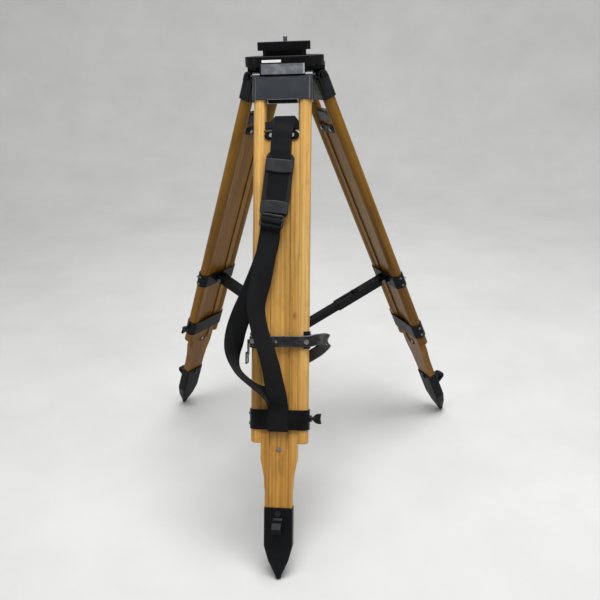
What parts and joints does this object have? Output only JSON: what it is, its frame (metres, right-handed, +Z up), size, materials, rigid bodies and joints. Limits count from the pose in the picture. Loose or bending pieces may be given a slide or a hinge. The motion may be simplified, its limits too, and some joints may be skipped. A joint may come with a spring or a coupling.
{
  "type": "surveyor tripod",
  "caption": "Wooden slide-leg surveyor tripod with flat instrument head, mid-level spreader, shoulder strap and leather closing belt.",
  "frame": {"origin": "centre of the instrument seat, on top of the head, at the base of the instrument screw's free end", "axes": "+Z up along the instrument screw and the tripod axis, -Y toward the front leg that carries the strap, +X to the right of that leg"},
  "size_m": [0.8536, 0.7533, 1.114],
  "materials": {
    "rail_wood": "satin varnish",
    "board_wood": "satin varnish",
    "black_casting": "satin black enamel",
    "head_paint": "matte black",
    "black_steel": "semi-gloss black",
    "bright_steel": "brushed",
    "zinc": "zinc plated",
    "black_alloy": "semi-gloss black",
    "black_plastic": "moulded",
    "webbing": "woven",
    "pad_rubber": "matte",
    "leather": "worn"
  },
  "bodies": {
    "head": {"head_plate": "head_paint", "instrument_plate": "head_paint", "head_labels": "bright_steel", "hinge_pins": "black_steel"},
    "instrument_screw": {"instrument_screw": "bright_steel"},
    "leg_front": {"rail_a_front": "rail_wood", "rail_b_front": "rail_wood", "hinge_casting_front": "black_casting", "bridge_front": "black_casting", "spreader_band_front": "black_alloy", "clamp_collar_front": "black_alloy", "rail_fasteners_front": "black_steel", "shoulder_strap": "webbing", "shoulder_pad": "pad_rubber", "strap_adjuster": "black_plastic", "closing_belt": "leather", "belt_hardware": "bright_steel"},
    "foot_front": {"board_front": "board_wood", "guide_plates_front": "black_steel", "board_fasteners_front": "zinc", "shoe_front": "black_alloy", "foot_pedal_front": "black_alloy"},
    "clamp_front": {"clamp_screw_front": "black_plastic"},
    "strut_front": {"arm_outer_front": "black_alloy"},
    "strut_end_front": {"arm_inner_front": "black_alloy"},
    "strut_lock_front": {"arm_lock_front": "black_plastic"},
    "leg_right": {"rail_a_right": "rail_wood", "rail_b_right": "rail_wood", "hinge_casting_right": "black_casting", "bridge_right": "black_casting", "spreader_band_right": "black_alloy", "clamp_collar_right": "black_alloy", "rail_fasteners_right": "black_steel"},
    "foot_right": {"board_right": "board_wood", "guide_plates_right": "black_steel", "board_fasteners_right": "zinc", "shoe_right": "black_alloy", "foot_pedal_right": "black_alloy"},
    "clamp_right": {"clamp_screw_right": "black_plastic"},
    "strut_right": {"arm_outer_right": "black_alloy"},
    "strut_end_right": {"arm_inner_right": "black_alloy"},
    "strut_lock_right": {"arm_lock_right": "black_plastic"},
    "leg_left": {"rail_a_left": "rail_wood", "rail_b_left": "rail_wood", "hinge_casting_left": "black_casting", "bridge_left": "black_casting", "spreader_band_left": "black_alloy", "clamp_collar_left": "black_alloy", "rail_fasteners_left": "black_steel"},
    "foot_left": {"board_left": "board_wood", "guide_plates_left": "black_steel", "board_fasteners_left": "zinc", "shoe_left": "black_alloy", "foot_pedal_left": "black_alloy"},
    "clamp_left": {"clamp_screw_left": "black_plastic"},
    "strut_left": {"arm_outer_left": "black_alloy"},
    "strut_end_left": {"arm_inner_left": "black_alloy"},
    "strut_lock_left": {"arm_lock_left": "black_plastic"},
    "hub": {"hub": "black_alloy", "hub_pins": "black_steel"}
  },
  "joints": [
    {"name": "instrument_screw_turn", "type": "hinge", "parent": "head", "child": "instrument_screw", "pos_m": [0, 0, 0], "axis": [0, 0, 1], "continuous": true},
    {"name": "fold_front", "type": "hinge", "parent": "head", "child": "leg_front", "pos_m": [0, -0.061, -0.073], "axis": [1, 0, 0], "range_deg": [0, 19]},
    {"name": "extend_front", "type": "slide", "parent": "leg_front", "child": "foot_front", "axis": [0, -0.3827, -0.9239], "range_m": [0, 0.42]},
    {"name": "clamp_front_turn", "type": "hinge", "parent": "leg_front", "child": "clamp_front", "pos_m": [0.08, -0.35031, -0.77145], "axis": [1, 0, 0], "range_deg": [0, 540]},
    {"name": "strut_front_hinge", "type": "hinge", "parent": "leg_front", "child": "strut_front", "pos_m": [0, -0.256, -0.62218], "axis": [-1, 0, 0], "range_deg": [0, 72.77]},
    {"name": "strut_front_slide", "type": "slide", "parent": "strut_front", "child": "strut_end_front", "axis": [0, -0.9352, 0.354], "range_m": [0, 0.085]},
    {"name": "strut_front_lock", "type": "hinge", "parent": "strut_front", "child": "strut_lock_front", "pos_m": [0, -0.17039, -0.64175], "axis": [0, 0.354, 0.9352], "range_deg": [0, 90]},
    {"name": "fold_right", "type": "hinge", "parent": "head", "child": "leg_right", "pos_m": [0.05283, 0.0305, -0.073], "axis": [-0.5, 0.866, 0], "range_deg": [0, 19]},
    {"name": "extend_right", "type": "slide", "parent": "leg_right", "child": "foot_right", "axis": [0.3314, 0.1913, -0.9239], "range_m": [0, 0.42]},
    {"name": "clamp_right_turn", "type": "hinge", "parent": "leg_right", "child": "clamp_right", "pos_m": [0.26338, 0.24444, -0.77145], "axis": [-0.5, 0.866, 0], "range_deg": [0, 540]},
    {"name": "strut_right_hinge", "type": "hinge", "parent": "leg_right", "child": "strut_right", "pos_m": [0.22171, 0.128, -0.62218], "axis": [0.5, -0.866, 0], "range_deg": [0, 72.77]},
    {"name": "strut_right_slide", "type": "slide", "parent": "strut_right", "child": "strut_end_right", "axis": [0.8099, 0.4676, 0.354], "range_m": [0, 0.085]},
    {"name": "strut_right_lock", "type": "hinge", "parent": "strut_right", "child": "strut_lock_right", "pos_m": [0.14756, 0.0852, -0.64175], "axis": [-0.3066, -0.177, 0.9352], "range_deg": [0, 90]},
    {"name": "fold_left", "type": "hinge", "parent": "head", "child": "leg_left", "pos_m": [-0.05283, 0.0305, -0.073], "axis": [-0.5, -0.866, 0], "range_deg": [0, 19]},
    {"name": "extend_left", "type": "slide", "parent": "leg_left", "child": "foot_left", "axis": [-0.3314, 0.1913, -0.9239], "range_m": [0, 0.42]},
    {"name": "clamp_left_turn", "type": "hinge", "parent": "leg_left", "child": "clamp_left", "pos_m": [-0.34338, 0.10587, -0.77145], "axis": [-0.5, -0.866, 0], "range_deg": [0, 540]},
    {"name": "strut_left_hinge", "type": "hinge", "parent": "leg_left", "child": "strut_left", "pos_m": [-0.22171, 0.128, -0.62218], "axis": [0.5, 0.866, 0], "range_deg": [0, 72.77]},
    {"name": "strut_left_slide", "type": "slide", "parent": "strut_left", "child": "strut_end_left", "axis": [-0.8099, 0.4676, 0.354], "range_m": [0, 0.085]},
    {"name": "strut_left_lock", "type": "hinge", "parent": "strut_left", "child": "strut_lock_left", "pos_m": [-0.14756, 0.0852, -0.64175], "axis": [0.3066, -0.177, 0.9352], "range_deg": [0, 90]},
    {"name": "hub_hinge", "type": "hinge", "parent": "strut_end_front", "child": "hub", "pos_m": [0, -0.024, -0.71], "axis": [1, 0, 0], "range_deg": [0, 53.77]}
  ],
  "couplings": [
    {"joint": "strut_front_hinge", "follows": "fold_front", "ratio": 3.83},
    {"joint": "strut_front_slide", "follows": "fold_front", "m_per_rad": 0.25632},
    {"joint": "fold_right", "follows": "fold_front", "ratio": 1},
    {"joint": "strut_right_hinge", "follows": "fold_front", "ratio": 3.83},
    {"joint": "strut_right_slide", "follows": "fold_front", "m_per_rad": 0.25632},
    {"joint": "fold_left", "follows": "fold_front", "ratio": 1},
    {"joint": "strut_left_hinge", "follows": "fold_front", "ratio": 3.83},
    {"joint": "strut_left_slide", "follows": "fold_front", "m_per_rad": 0.25632},
    {"joint": "hub_hinge", "follows": "fold_front", "ratio": 2.83}
  ]
}
